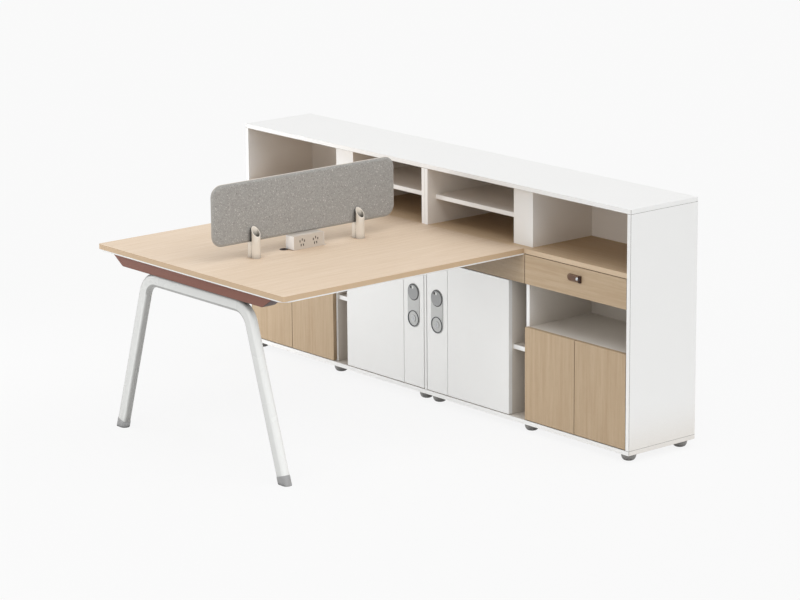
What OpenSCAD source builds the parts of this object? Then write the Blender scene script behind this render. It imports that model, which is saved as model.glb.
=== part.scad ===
// Shared office desk: a two-person top that joins a long storage cabinet.
// X runs along the cabinet, Y from the free end of the desk to the cabinet back.
// The origin is on the floor, at the middle of the whole piece.

/* [Storage cabinet] */
// Length of the cabinet, both carcasses together
cab_w = 2400; // [2200:10:2800]
// Depth of the cabinet, front edge to back
cab_d = 360; // [355:5:450]
// Height of the cabinet's top above the counter
hutch_h = 250; // [230:5:450]
// Thickness of the carcass boards
board_t = 18; // [16:1:25]
// Thickness of the back panels
back_t = 5; // [3:1:8]
// Narrow seam between the two carcasses
carcass_seam = 1; // [0.6:0.2:2]
// Height of the counter above the floor, level with the desk
counter_h = 750; // [720:5:760]
// Thickness of the oak counter
counter_t = 20; // [18:1:25]

/* [Doors and drawers] */
// Thickness of doors, drawer fronts and front panels
front_t = 18; // [16:1:22]
// Gap around a door or drawer front
front_gap = 3; // [2:0.5:4]
// Height of the oak doors' upper edge
door_top = 431; // [380:1:460]
// Height of the drawer fronts and of the board behind the desk
drawer_front_h = 119; // [100:1:130]
// Distance from the desk's side to the middle of the partition beside it
partition_out = 6; // [4:1:40]
// Clear width of the niche beside the oak doors
niche_w = 85; // [80:1:140]
// Width of the narrow door that carries the lock
access_w = 126; // [110:1:130]
// Width of the cover strip between the two carcasses
strip_w = 12; // [8:1:24]
// Width of the dark reveal beside the cover strip
strip_gap = 5; // [1:0.5:7]

/* [Hutch] */
// Width of the cable riser
riser_w = 112; // [90:1:130]
// Set-back of the riser from the front edge
riser_back = 35; // [20:1:60]
// Set-back of the hutch shelf from the front edge
hutch_shelf_back = 45; // [20:1:80]
// Height of the hutch shelf's upper face above the counter
hutch_shelf_rise = 120; // [100:1:130]
// Height of the side niche shelf's upper face
niche_shelf_h = 338; // [250:1:400]
// Set-back of the niche shelf from the fronts
niche_shelf_back = 8; // [4:1:40]
// Height of the locker shelf's upper face
locker_shelf_h = 320; // [250:1:400]

/* [Cabinet feet] */
// Height of a cabinet foot
foot_h = 30; // [25:1:40]
// Radius of a cabinet foot at its top
foot_r = 30; // [20:1:32]
// Distance of the foot's middle from the carcass edges
foot_inset = 41; // [36:1:60]

/* [Desk] */
// Width of the desk
desk_w = 1200; // [1100:10:1220]
// Length of the desk, from its free end to the cabinet
desk_l = 1200; // [1100:10:1600]
// Thickness of the oak top
top_t = 20; // [18:1:25]
// Thickness of the white board under the top
liner_t = 5; // [3:1:8]
// Corner radius of the oak top
top_corner_r = 10; // [6:1:20]
// Corner radius of the white board
liner_corner_r = 40; // [20:1:60]

/* [Leg frame] */
// Width of the leg tube, across the desk
tube_w = 56; // [50:1:60]
// Depth of the leg tube, along the desk
tube_d = 36; // [30:1:40]
// Corner radius of the leg tube's section
tube_corner_r = 14; // [8:1:16]
// Wall of the leg tube
tube_wall = 2; // [1.5:0.5:4]
// Distance from the desk's side to a leg's middle at the floor
leg_side_inset = 70; // [40:5:120]
// Splay of the legs from upright, in degrees
leg_splay = 17.5; // [10:0.5:20]
// Middle-line radius of the two upper bends
bend_r = 90; // [60:5:120]
// Distance of the frame's middle from the desk's free end
leg_inset = 45; // [40:1:80]
// Length of the plastic cap on each leg
cap_len = 34; // [25:1:50]
// Wall of the plastic cap outside the tube
cap_wall = 1.5; // [1:0.5:3]

/* [End beam] */
// Distance from the desk's side to the beam's upper end
beam_side_inset = 80; // [60:5:150]
// How far each slanted end of the beam leans in
beam_lean = 67.5; // [20:0.5:90]
// Height of the beam
beam_h = 44; // [36:1:60]
// Depth of the beam
beam_d = 60; // [50:1:80]
// Wall of the beam
beam_wall = 3; // [2:0.5:5]
// Radius of the beam's lower corners
beam_corner_r = 18; // [8:1:22]
// Set-back of the beam from the desk's free end
beam_inset = 12; // [6:1:20]

/* [Screen] */
// Length of the fabric screen
screen_l = 910; // [700:10:1100]
// Height of the fabric screen
screen_h = 240; // [180:5:300]
// Thickness of the fabric screen
screen_t = 14; // [10:1:18]
// Corner radius of the fabric screen
screen_corner_r = 45; // [20:1:60]
// Gap between the desk and the screen
screen_gap = 65; // [40:1:90]
// Middle of the screen from the desk's free end
screen_mid = 577; // [500:1:620]
// Distance between the two screen posts
post_spacing = 524; // [400:2:640]
// Outer radius of a post tube
post_r = 17.5; // [15:0.5:22]
// Wall of a post tube
post_wall = 2.5; // [2:0.5:4]
// Height of the post's outer rim above the desk
post_low_h = 85; // [80:1:105]
// Height of the post's inner rim above the desk
post_high_h = 125; // [110:1:150]

/* [Power unit] */
// Length of the power unit along the desk
power_l = 150; // [140:1:180]
// Width of the power unit
power_w = 50; // [44:1:60]
// Height of the power unit
power_h = 56; // [50:1:65]
// Wall of the power unit
power_wall = 3; // [2:0.5:4]
// Outlets on each side of the power unit
outlet_count = 2; // [1:1:2]

/* [Drawers] */
// Depth of the drawer box
drawer_l = 320; // [250:5:330]
// Height of the drawer box
drawer_h = 82; // [60:1:90]
// Thickness of the drawer box sides
drawer_side_t = 12; // [10:1:16]
// Thickness of the drawer bottom
drawer_bottom_t = 6; // [4:1:8]
// Width of a drawer slide, one member on the carcass and one on the drawer
slide_w = 12.7; // [12:0.1:14]
// Height of a drawer slide
slide_h = 35; // [28:1:45]

/* [Hidden] */

fit = 0.3;
overrun = 1;
round_fn = 64;

free_y = -(desk_l + cab_d) / 2;
front_y = free_y + desk_l;
back_y = front_y + cab_d;
inner_back_y = back_y - back_t;
panel_y = front_y + front_t;
half_w = cab_w / 2;
seam_x = carcass_seam / 2;
centre_x = seam_x + board_t;
end_x = half_w - board_t;
floor_z = foot_h + board_t;
cab_h = counter_h + hutch_h;
lid_z = cab_h - board_t;
counter_z = counter_h - counter_t;
door_z = floor_z + front_gap;
drawer_z = counter_z - front_gap - drawer_front_h;
hutch_shelf_h = counter_h + hutch_shelf_rise;
partition_x = desk_w / 2 + partition_out;
part_in_x = partition_x - board_t / 2;
part_out_x = partition_x + board_t / 2;
locker_x = part_in_x - niche_w;
locker_in_x = locker_x - board_t;
riser_x = part_out_x - riser_w;
leg_foot_x = desk_w / 2 - leg_side_inset;
beam_top_w = desk_w - 2 * beam_side_inset;
beam_low_w = beam_top_w - 2 * beam_lean;
access_x = strip_w / 2 + strip_gap;
post_off = screen_t / 2 + fit + post_r;
locker_door_x = access_x + access_w + front_gap;
bay_x = partition_x + front_gap / 2;
bay_end_x = end_x - front_gap;
bay_mid_x = (bay_x + bay_end_x) / 2;

module board(lo, hi) {
    translate(lo) cube(hi - lo);
}

module mirrored() {
    mirror([1, 0, 0]) children();
}

module both_sides() {
    children();
    mirrored() children();
}

// Shelf pins: half in the board, half under the shelf.
pin_r = 2.5;
pin_l = 16;
pin_hole = 0.1;
pin_front = 50;
pin_back = 40;

module pin_pair(x, z, y0, r, l) {
    for (y = [y0 + pin_front, inner_back_y - pin_back])
        translate([x, y, z - pin_r]) rotate([0, 90, 0])
            cylinder(r = r, h = l, center = true, $fn = 32);
}

module pins_for(x0, x1, z, y0) {
    pin_pair(x0, z, y0, pin_r, pin_l);
    pin_pair(x1, z, y0, pin_r, pin_l);
}

module pin_holes(x, z, y0) {
    pin_pair(x, z, y0, pin_r + pin_hole, pin_l + 2 * pin_hole);
}

hutch_shelf_y = front_y + hutch_shelf_back;
niche_shelf_y = panel_y + niche_shelf_back;
locker_shelf_y = panel_y + niche_shelf_back;
hutch_pin_z = hutch_shelf_h - board_t;
niche_pin_z = niche_shelf_h - board_t;
locker_pin_z = locker_shelf_h - board_t;

// Carcass boards, drawn for the right-hand carcass and mirrored for the left.
module end_panel_shape() {
    color("white") board([end_x, front_y, floor_z], [half_w, back_y, lid_z]);
}

module centre_panel_shape() {
    color("white") difference() {
        board([seam_x, front_y, floor_z], [centre_x, inner_back_y, lid_z]);
        board([seam_x - overrun, front_y - overrun, floor_z - overrun],
              [centre_x + overrun, panel_y, counter_z]);
        pin_holes(centre_x, hutch_pin_z, hutch_shelf_y);
        pin_holes(centre_x, locker_pin_z, locker_shelf_y);
    }
}

module bottom_panel_shape() {
    color("white") difference() {
        board([seam_x, front_y, foot_h], [half_w, back_y, floor_z]);
        for (p = foot_places)
            translate([p.x, p.y, foot_h - overrun])
                cylinder(r = stud_r + pin_hole, h = stud_l + overrun, $fn = 32);
    }
}

module counter_shape() {
    color("burlywood") board([centre_x, front_y, counter_z], [end_x, inner_back_y, counter_h]);
}

module partition_shape() {
    color("white") difference() {
        board([part_in_x, panel_y, floor_z], [part_out_x, inner_back_y, counter_z]);
        pin_holes(part_in_x, niche_pin_z, niche_shelf_y);
    }
}

module locker_side_shape() {
    color("white") difference() {
        board([locker_in_x, panel_y, floor_z], [locker_x, inner_back_y, counter_z]);
        pin_holes(locker_x, niche_pin_z, niche_shelf_y);
        pin_holes(locker_in_x, locker_pin_z, locker_shelf_y);
    }
}

// The riser is a box of three boards that hides cables from the counter up.
module riser_shape() {
    front = front_y + riser_back;
    color("white") difference() {
        board([riser_x, front, counter_h], [part_out_x, inner_back_y, lid_z]);
        board([riser_x + board_t, front + board_t, counter_h - overrun],
              [part_out_x - board_t, inner_back_y + overrun, lid_z + overrun]);
        pin_holes(riser_x, hutch_pin_z, hutch_shelf_y);
    }
}

module back_panel_shape() {
    color("white") board([seam_x, inner_back_y, floor_z], [end_x, back_y, lid_z]);
}

module left_end_panel() { mirrored() end_panel_shape(); }
module right_end_panel() { end_panel_shape(); }
module left_centre_panel() { mirrored() centre_panel_shape(); }
module right_centre_panel() { centre_panel_shape(); }
module left_bottom_panel() { mirrored() bottom_panel_shape(); }
module right_bottom_panel() { bottom_panel_shape(); }
module left_counter() { mirrored() counter_shape(); }
module right_counter() { counter_shape(); }
module partitions() { both_sides() partition_shape(); }
module locker_sides() { both_sides() locker_side_shape(); }
module left_riser() { mirrored() riser_shape(); }
module right_riser() { riser_shape(); }
module left_back_panel() { mirrored() back_panel_shape(); }
module right_back_panel() { back_panel_shape(); }

module top_board() {
    color("white") board([-half_w, front_y, lid_z], [half_w, back_y, cab_h]);
}

module centre_strip() {
    color("white") board([-strip_w / 2, front_y, floor_z],
                         [strip_w / 2, panel_y, drawer_z - front_gap]);
}

module desk_fascia() {
    reach = partition_x - front_gap / 2;
    color("burlywood") board([-reach, front_y, drawer_z], [reach, panel_y, counter_z]);
}

// Shelves.
module bay_shelves() {
    color("white") both_sides()
        board([part_out_x, panel_y, door_top - board_t], [end_x, inner_back_y, door_top]);
}

module niche_shelves() {
    color("white") both_sides()
        board([locker_x + fit, niche_shelf_y, niche_pin_z],
              [part_in_x - fit, inner_back_y, niche_shelf_h]);
}

module hutch_shelves() {
    color("white") both_sides()
        board([centre_x + fit, hutch_shelf_y, hutch_pin_z],
              [riser_x - fit, inner_back_y, hutch_shelf_h]);
}

module locker_shelves() {
    color("white") both_sides()
        board([centre_x + fit, locker_shelf_y, locker_pin_z],
              [locker_in_x - fit, inner_back_y, locker_shelf_h]);
}

module shelf_pins() {
    color("silver") both_sides() {
        pins_for(locker_x, part_in_x, niche_pin_z, niche_shelf_y);
        pins_for(centre_x, riser_x, hutch_pin_z, hutch_shelf_y);
        pins_for(centre_x, locker_in_x, locker_pin_z, locker_shelf_y);
    }
}

// Cabinet feet: a bowl of grey plastic on a steel stud.
stud_r = 4;
stud_l = 14;
foot_sole_r = 15;
foot_rim = 5;
foot_xs = [foot_inset + seam_x, partition_x, half_w - foot_inset];
foot_ys = [front_y + foot_inset, back_y - foot_inset];
foot_places = [for (x = foot_xs, y = foot_ys) [x, y]];
bowl_steps = 8;

module foot_shape() {
    bowl = [for (i = [0 : bowl_steps]) let (a = 90 * i / bowl_steps)
        [foot_sole_r + (foot_r - foot_sole_r) * sin(a), (foot_h - foot_rim) * (1 - cos(a))]];
    rotate_extrude($fn = round_fn)
        polygon(concat([[0, 0]], bowl, [[foot_r, foot_h], [0, foot_h]]));
    cylinder(r = stud_r, h = foot_h + stud_l - overrun, $fn = 32);
}

module cabinet_feet() {
    color("dimgray") both_sides()
        for (p = foot_places) translate([p.x, p.y, 0]) foot_shape();
}

// Concealed hinges: a cup in the door and an arm on the board beside it.
cup_r = 17.5;
cup_d = 12;
cup_edge = 23;
arm_w = 12;
arm_t = 8;
arm_l = 52;
plate_h = 32;
plate_t = 6;
hinge_end = 90;

function hinge_zs(top) = [door_z + hinge_end, top - hinge_end];

// x is the board's face and side is 1 where the door lies on its +X side.
module hinge_arm(x, side, z) {
    plate_x = side > 0 ? x : x - plate_t;
    arm_x = side > 0 ? x : x - cup_edge - cup_r / 2;
    translate([plate_x, panel_y + arm_t + fit, z - plate_h / 2]) cube([plate_t, arm_l, plate_h]);
    translate([arm_x, panel_y + fit, z - arm_w / 2]) cube([cup_edge + cup_r / 2, arm_t, arm_w]);
}

module hinge_arms() {
    color("silver") both_sides() {
        for (z = hinge_zs(door_top)) {
            hinge_arm(part_out_x, 1, z);
            hinge_arm(end_x, -1, z);
        }
        for (z = hinge_zs(drawer_z - front_gap)) {
            hinge_arm(locker_in_x, -1, z);
            hinge_arm(centre_x, 1, z);
        }
    }
}

module door_shape(x0, x1, top, cup_x, shade) {
    difference() {
        color(shade) board([x0, front_y, door_z], [x1, panel_y, top]);
        for (z = hinge_zs(top)) translate([cup_x, panel_y - cup_d, z]) rotate([-90, 0, 0])
            cylinder(r = cup_r, h = cup_d + overrun, $fn = round_fn);
    }
    color("silver") for (z = hinge_zs(top)) translate([cup_x, panel_y - cup_d, z])
        rotate([-90, 0, 0]) difference() {
            cylinder(r = cup_r, h = cup_d, $fn = round_fn);
            translate([0, 0, cup_wall])
                cylinder(r = cup_r - 2 * cup_wall, h = cup_d, $fn = round_fn);
        }
}
cup_wall = 1.5;

module inner_door_shape() {
    door_shape(bay_x, bay_mid_x - front_gap / 2, door_top, part_out_x + cup_edge, "tan");
}

module outer_door_shape() {
    door_shape(bay_mid_x + front_gap / 2, bay_end_x, door_top, end_x - cup_edge, "tan");
}

module locker_door_shape() {
    door_shape(locker_door_x, locker_x, drawer_z - front_gap, locker_in_x - cup_edge,
               "white");
}

// The narrow door has the lock's bore and a round recess for the finger disc.
module access_door_shape() {
    difference() {
        door_shape(access_x, access_x + access_w, drawer_z - front_gap, centre_x + cup_edge,
                   "white");
        translate([lock_x, front_y - overrun, pull_z]) rotate([-90, 0, 0])
            cylinder(r = recess_r, h = recess_d + overrun, $fn = round_fn);
        translate([lock_x, front_y - overrun, lock_z]) rotate([-90, 0, 0])
            cylinder(r = barrel_r + pin_hole, h = front_t + 2 * overrun, $fn = round_fn);
        translate([lock_x, front_y + disc_depth, pull_z]) rotate([0, 90, 0])
            cylinder(r = disc_pin_r + pin_hole, h = 2 * (recess_r + disc_pin_l + pin_hole),
                     center = true, $fn = 32);
    }
}

module left_access_door() { mirrored() access_door_shape(); }
module right_access_door() { access_door_shape(); }
module left_outer_door() { mirrored() outer_door_shape(); }
module left_inner_door() { mirrored() inner_door_shape(); }
module right_inner_door() { inner_door_shape(); }
module right_outer_door() { outer_door_shape(); }
module left_locker_door() { mirrored() locker_door_shape(); }
module right_locker_door() { locker_door_shape(); }

// Lock plate: an upper finger disc that tilts and a lower keyed lock.
lock_x = access_x + access_w / 2;
plate_r = 37;
plate_proud = 2;
pull_z = 450;
lock_z = 338;
recess_r = 35;
recess_d = 15.5;
disc_gap = 2;
disc_front = 5;
disc_back = 1.5;
disc_depth = 3;
disc_pin_r = 2;
disc_pin_l = 6;
ring_w = 3;
ring_proud = 3;
barrel_r = 11;
key_slot = [2.5, 12];
key_slot_d = 6;
tongue = [16, 3, 72];

module stadium(r, z0, z1, y0, y1) {
    translate([lock_x, y0, z0]) rotate([-90, 0, 0]) cylinder(r = r, h = y1 - y0, $fn = round_fn);
    translate([lock_x, y0, z1]) rotate([-90, 0, 0]) cylinder(r = r, h = y1 - y0, $fn = round_fn);
    board([lock_x - r, y0, z0], [lock_x + r, y1, z1]);
}

module lock_plate_shape() {
    color("lightgray") difference() {
        union() {
            stadium(plate_r, lock_z, pull_z, front_y - plate_proud, front_y);
            translate([lock_x, front_y - plate_proud - ring_proud, lock_z]) rotate([-90, 0, 0])
                cylinder(r = plate_r - ring_proud, h = ring_proud + overrun, $fn = round_fn);
        }
        translate([lock_x, front_y - plate_proud - overrun, pull_z]) rotate([-90, 0, 0])
            cylinder(r = recess_r, h = plate_proud + 2 * overrun, $fn = round_fn);
        translate([lock_x, front_y - plate_proud - ring_proud - overrun, lock_z])
            rotate([-90, 0, 0]) {
            cylinder(r = barrel_r + pin_hole, h = plate_proud + ring_proud + 2 * overrun,
                     $fn = round_fn);
            cylinder(r = plate_r - ring_proud - ring_w, h = ring_proud + overrun / 2,
                     $fn = round_fn);
        }
    }
}

// The disc turns on a cross pin whose ends sit in the door beside the recess.
module pull_disc_shape() {
    color("gray") translate([lock_x, front_y + disc_depth, pull_z]) {
        translate([0, -disc_depth - disc_front, 0]) rotate([-90, 0, 0])
            cylinder(r = recess_r - disc_gap, h = disc_depth + disc_front + disc_back,
                     $fn = round_fn);
        rotate([0, 90, 0]) cylinder(r = disc_pin_r, h = 2 * (recess_r + disc_pin_l),
                                    center = true, $fn = 32);
    }
}

module lock_plug_shape() {
    face_y = front_y - plate_proud - ring_proud / 2;
    color("silver") difference() {
        union() {
            translate([lock_x, face_y, lock_z]) rotate([-90, 0, 0])
                cylinder(r = barrel_r, h = panel_y + fit - face_y + tongue.y, $fn = round_fn);
            translate([lock_x - tongue.x / 2, panel_y + fit, lock_z - tongue.z]) cube(tongue);
        }
        translate([lock_x - key_slot.x / 2, face_y - overrun, lock_z - key_slot.y / 2])
            cube([key_slot.x, key_slot_d + overrun, key_slot.y]);
    }
}

module left_lock_plate() { mirrored() lock_plate_shape(); }
module right_lock_plate() { lock_plate_shape(); }
module left_pull_disc() { mirrored() pull_disc_shape(); }
module right_pull_disc() { pull_disc_shape(); }
module left_lock_plug() { mirrored() lock_plug_shape(); }
module right_lock_plug() { lock_plug_shape(); }

// Drawers: an oak front, a board box and ball-bearing slides at its sides.
drawer_rise = 12;
drawer_box_z = drawer_z + drawer_rise;
drawer_x0 = part_out_x + slide_w;
drawer_x1 = end_x - slide_w;
slide_gap = 0.6;
slide_lift = 20;

module drawer_front_shape() {
    color("burlywood") board([bay_x, front_y, drawer_z], [bay_end_x, panel_y, counter_z - front_gap]);
}

module drawer_box_shape() {
    lo = [drawer_x0, panel_y, drawer_box_z];
    hi = [drawer_x1, panel_y + drawer_l, drawer_box_z + drawer_h];
    color("white") difference() {
        board(lo, hi);
        board(lo + [drawer_side_t, drawer_side_t, drawer_bottom_t],
              hi + [-drawer_side_t, -drawer_side_t, overrun]);
    }
    color("silver") for (x = [drawer_x0 - slide_w / 2 + slide_gap / 2, drawer_x1])
        translate([x, panel_y + slide_gap, drawer_box_z + slide_lift])
            cube([slide_w / 2 - slide_gap / 2, drawer_l - slide_gap, slide_h]);
}

module carcass_slides() {
    color("silver") both_sides()
        for (x = [part_out_x, end_x - slide_w / 2 + slide_gap / 2])
            translate([x, panel_y + slide_gap, drawer_box_z + slide_lift])
                cube([slide_w / 2 - slide_gap / 2, drawer_l, slide_h]);
}

// Leather pull: a folded strap held by one stud.
strap_l = 78;
strap_h = 28;
strap_t = 5;
strap_rise = 14;
stud_head_r = 7;
stud_head_t = 4;
strap_bar = 9;
strap_bar_t = 12;
strap_stud_x = 22;

module drawer_pull_shape() {
    mid_x = (bay_x + bay_end_x) / 2;
    mid_z = drawer_z + drawer_front_h / 2 + strap_rise;
    end = strap_l / 2;
    color("saddlebrown") {
        translate([mid_x - end + strap_h / 2, front_y - strap_t, mid_z]) rotate([-90, 0, 0])
            cylinder(r = strap_h / 2, h = strap_t, $fn = round_fn);
        board([mid_x - end + strap_h / 2, front_y - strap_t, mid_z - strap_h / 2],
              [mid_x + end, front_y, mid_z + strap_h / 2]);
        board([mid_x + end - strap_bar, front_y - strap_bar_t, mid_z - strap_h / 2],
              [mid_x + end, front_y, mid_z + strap_h / 2]);
    }
    color("silver") translate([mid_x + end - strap_stud_x, front_y - strap_t - stud_head_t, mid_z])
        rotate([-90, 0, 0]) cylinder(r = stud_head_r, h = stud_head_t, $fn = 32);
}

module left_drawer_front() { mirrored() drawer_front_shape(); }
module right_drawer_front() { drawer_front_shape(); }
module left_drawer_box() { mirrored() drawer_box_shape(); }
module right_drawer_box() { drawer_box_shape(); }
module left_drawer_pull() { mirrored() drawer_pull_shape(); }
module right_drawer_pull() { drawer_pull_shape(); }

// Desk top: oak on a thin white board, with holes for the posts and cables.
desk_half = desk_w / 2;
top_z = counter_h - top_t;
liner_z = top_z - liner_t;
screen_y = free_y + screen_mid;
post_ys = [screen_y - post_spacing / 2, screen_y + post_spacing / 2];
bolt_r = 4;
bolt_hole = 0.5;
cable_hole_r = 20;
grommet_r = 13;
grommet_rim = 3;
grommet_gap = 1;
grommet_off = [-20, -power_l / 2 - grommet_r - grommet_rim - grommet_gap];
grommet_wall = 2;
joint_gap = 0.5;

module slab(z, t, r) {
    far = front_y - joint_gap;
    for (side = [-1, 1]) translate([side * (desk_half - r), free_y + r, z])
        cylinder(r = r, h = t, $fn = round_fn);
    board([-desk_half + r, free_y, z], [desk_half - r, free_y + 2 * r, z + t]);
    board([-desk_half, free_y + r, z], [desk_half, far, z + t]);
}

module top_holes() {
    for (y = post_ys, x = [0, post_off])
        translate([x, y, liner_z - overrun])
            cylinder(r = bolt_r + bolt_hole, h = top_t + liner_t + 2 * overrun, $fn = 32);
    translate([0, screen_y, liner_z - overrun])
        cylinder(r = cable_hole_r, h = top_t + liner_t + 2 * overrun, $fn = round_fn);
    translate([grommet_off.x, screen_y + grommet_off.y, liner_z - overrun])
        cylinder(r = grommet_r + fit, h = top_t + liner_t + 2 * overrun, $fn = round_fn);
}

module desk_top() {
    color("burlywood") difference() {
        slab(top_z, top_t, top_corner_r);
        top_holes();
    }
}

module desk_liner() {
    color("white") difference() {
        slab(liner_z, liner_t, liner_corner_r);
        top_holes();
    }
}

module cable_grommet() {
    color("dimgray") translate([grommet_off.x, screen_y + grommet_off.y, liner_z])
        difference() {
            union() {
                cylinder(r = grommet_r, h = top_t + liner_t, $fn = round_fn);
                translate([0, 0, top_t + liner_t])
                    cylinder(r = grommet_r + grommet_rim, h = grommet_wall, $fn = round_fn);
            }
            translate([0, 0, -overrun]) cylinder(r = grommet_r - grommet_wall,
                h = top_t + liner_t + grommet_wall + 2 * overrun, $fn = round_fn);
        }
}

// End beam: a hollow steel section with slanted ends and rounded lower corners.
beam_y = free_y + beam_inset;
beam_z = liner_z - beam_h;

function arc(c, r, a0, a1, n = 6) =
    [for (i = [0 : n]) let (a = a0 + (a1 - a0) * i / n) c + r * [cos(a), sin(a)]];

module beam_outline(inset) {
    top = beam_top_w / 2 - inset;
    slant = atan2(beam_top_w / 2 - beam_low_w / 2, beam_h);
    r = max(beam_corner_r - inset, overrun);
    low = beam_low_w / 2 - inset / cos(slant) + inset * tan(slant);
    turn = 90 - slant;
    cx = low + r * tan(turn / 2) - r * tan(turn / 2) * 2;
    right = arc([cx, inset + r], r, -90, -slant);
    left = [for (i = [len(right) - 1 : -1 : 0]) [-right[i].x, right[i].y]];
    polygon(concat(right, [[top, beam_h - inset]], [[-top, beam_h - inset]], left));
}

module end_beam() {
    color("sienna") translate([0, beam_y + beam_d, beam_z]) rotate([90, 0, 0]) difference() {
        linear_extrude(height = beam_d) beam_outline(0);
        translate([0, 0, beam_wall]) linear_extrude(height = beam_d - 2 * beam_wall)
            beam_outline(beam_wall);
    }
}

// Leg frame: one bent tube, drawn in its own upright plane.
frame_y = free_y + leg_inset;
run_z = beam_z - tube_w / 2;
cross_x = leg_foot_x - run_z * tan(leg_splay);
bend_reach = bend_r * tan((90 - leg_splay) / 2);
leg_dir = [-sin(leg_splay), cos(leg_splay)];
bend_start = [cross_x, run_z] - bend_reach * leg_dir;
bend_mid = bend_start - bend_r * [cos(leg_splay), sin(leg_splay)];
leg_start = [leg_foot_x, 0] + cap_len * leg_dir;
leg_len = norm(bend_start - leg_start);
run_half = cross_x - bend_reach;

module tube_outline(grow) {
    r = tube_corner_r + grow;
    x = tube_w / 2 - tube_corner_r;
    y = tube_d / 2 - tube_corner_r;
    polygon(concat(arc([x, -y], r, -90, 0, 4), arc([x, y], r, 0, 90, 4),
                   arc([-x, y], r, 90, 180, 4), arc([-x, -y], r, 180, 270, 4)));
}

// The bends' wall is 0.05 mm thinner on both faces and runs a little way into the straight tubes, so that
// the two never share a face.
lap_turn = 1.2;
lap_step = 0.05;

module tube_section(step = 0) {
    difference() {
        tube_outline(-step);
        tube_outline(step - tube_wall);
    }
}

module straight(l) {
    rotate([90, 0, 90]) linear_extrude(height = l) children();
}

module leg_frame() {
    color("whitesmoke") translate([0, frame_y, 0]) rotate([90, 0, 0]) {
        both_sides() {
            translate([leg_start.x, leg_start.y, 0]) rotate([0, 0, 90 + leg_splay])
                straight(leg_len) tube_section();
            translate([bend_mid.x, bend_mid.y, 0]) rotate([0, 0, leg_splay - lap_turn])
                rotate_extrude(angle = 90 - leg_splay + 2 * lap_turn, $fn = 96)
                    translate([bend_r, 0]) tube_section(lap_step);
        }
        translate([-run_half, run_z, 0]) straight(2 * run_half) tube_section();
    }
}

cap_plug = 25;

module leg_caps() {
    deep = tube_w;
    sleeve = cap_len;
    color("dimgray") translate([0, frame_y, 0]) rotate([90, 0, 0]) both_sides() difference() {
        translate([leg_foot_x, 0, 0] - deep * [leg_dir.x, leg_dir.y, 0])
            rotate([0, 0, 90 + leg_splay]) {
            straight(deep + sleeve) tube_outline(cap_wall);
            straight(deep + sleeve + cap_plug) tube_outline(-tube_wall - pin_hole);
        }
        translate([leg_foot_x - 2 * tube_w, -4 * deep, -tube_w])
            cube([4 * tube_w, 4 * deep, 2 * tube_w]);
    }
}

// Rails run under the top from the beam to the angle brackets on the cabinet.
rail_x = 300;
rail_w = 50;
rail_h = 25;
rail_wall = 2;
bracket_w = 70;
bracket_l = 60;
bracket_t = 4;
bracket_drop = 60;
rail_y0 = beam_y + beam_d;
rail_y1 = front_y - bracket_l;

module desk_rails() {
    color("whitesmoke") both_sides() difference() {
        board([rail_x - rail_w / 2, rail_y0, liner_z - rail_h],
              [rail_x + rail_w / 2, rail_y1, liner_z]);
        board([rail_x - rail_w / 2 + rail_wall, rail_y0 - overrun, liner_z - rail_h + rail_wall],
              [rail_x + rail_w / 2 - rail_wall, rail_y1 + overrun, liner_z - rail_wall]);
    }
}

module desk_brackets() {
    color("silver") both_sides() {
        board([rail_x - bracket_w / 2, rail_y1, liner_z - bracket_t],
              [rail_x + bracket_w / 2, front_y, liner_z]);
        board([rail_x - bracket_w / 2, front_y - bracket_t, liner_z - bracket_drop],
              [rail_x + bracket_w / 2, front_y, liner_z]);
    }
}

// Screen: a padded fabric board on two stubs. A rod through each stub holds it from below.
screen_z = counter_h + screen_gap;
bolt_l = 50;
bolt_head_r = 7;
bolt_head_t = 5;
rod_grip = 25;
rod_l = liner_t + top_t + screen_gap + rod_grip;

module screen_panel() {
    w = screen_l / 2 - screen_corner_r;
    h = screen_h / 2 - screen_corner_r;
    color("darkgray") difference() {
        translate([-screen_t / 2, screen_y, screen_z + screen_h / 2])
            rotate([90, 0, 90]) linear_extrude(height = screen_t) {
                for (sx = [-1, 1], sy = [-1, 1]) translate([sx * w, sy * h])
                    circle(r = screen_corner_r, $fn = round_fn);
                square([screen_l, 2 * h], center = true);
                square([2 * w, screen_h], center = true);
            }
        for (y = post_ys) translate([0, y, screen_z - overrun])
            cylinder(r = bolt_r + pin_hole, h = rod_grip + overrun + pin_hole, $fn = 32);
    }
}

// A post is a tall tube beside the screen, cut off at a slant, and a stub under the screen.
module screen_post(y) {
    cut = atan2(post_high_h - post_low_h, 2 * post_r);
    bore_z = screen_z - counter_h;
    color("antiquewhite") translate([0, y, counter_h]) difference() {
        union() {
            translate([post_off, 0, 0]) cylinder(r = post_r, h = post_high_h, $fn = round_fn);
            cylinder(r = post_r, h = bore_z - fit, $fn = round_fn);
        }
        translate([post_off, 0, bore_z])
            cylinder(r = post_r - post_wall, h = post_high_h, $fn = round_fn);
        translate([post_off, 0, -overrun])
            cylinder(r = bolt_r + pin_hole, h = bolt_l - liner_t - top_t + overrun + pin_hole,
                     $fn = 32);
        translate([0, 0, -overrun]) cylinder(r = bolt_r + pin_hole, h = bore_z + 2 * overrun, $fn = 32);
        translate([post_off + post_r, 0, post_low_h]) rotate([0, cut, 0])
            translate([-4 * post_r, -2 * post_r, 0]) cube([6 * post_r, 4 * post_r, 2 * post_high_h]);
    }
}

module front_screen_post() { screen_post(post_ys[0]); }
module rear_screen_post() { screen_post(post_ys[1]); }

// A short bolt holds each tube and a long rod holds each stub and the screen.
module post_bolts() {
    color("silver") for (y = post_ys, b = [[0, rod_l], [post_off, bolt_l]])
        translate([b[0], y, liner_z]) {
            cylinder(r = bolt_r, h = b[1], $fn = 32);
            translate([0, 0, -bolt_head_t]) cylinder(r = bolt_head_r, h = bolt_head_t, $fn = 32);
        }
}

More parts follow.
